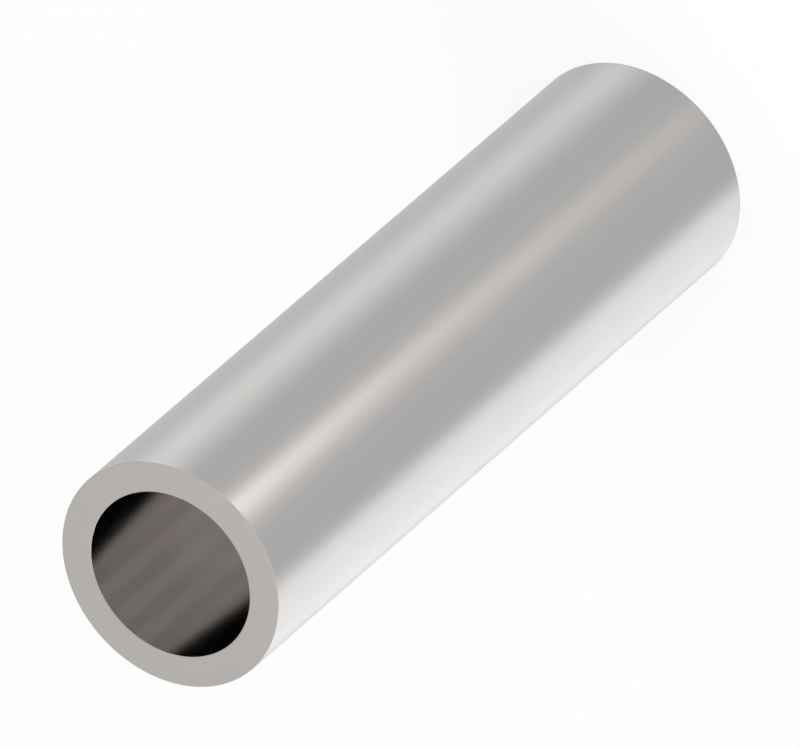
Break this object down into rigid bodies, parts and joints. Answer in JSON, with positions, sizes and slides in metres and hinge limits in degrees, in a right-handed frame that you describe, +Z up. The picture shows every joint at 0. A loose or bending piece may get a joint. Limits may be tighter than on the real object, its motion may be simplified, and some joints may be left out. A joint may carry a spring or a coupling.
{
  "type": "spacer sleeve",
  "caption": "Plain round steel sleeve with a through bore and square-faced ends. It slips over a bolt and holds two clamped parts a fixed distance apart.",
  "frame": {"origin": "middle of the lower end face, on the surface that the sleeve stands on", "axes": "+Z up along the sleeve's axis, from the lower end face to the upper one; X and Y are alike, because the sleeve is round"},
  "size_m": [0.015, 0.015, 0.056],
  "materials": {
    "steel": "satin, fine turned"
  },
  "bodies": {
    "root": {"sleeve": "steel"}
  },
  "joints": []
}
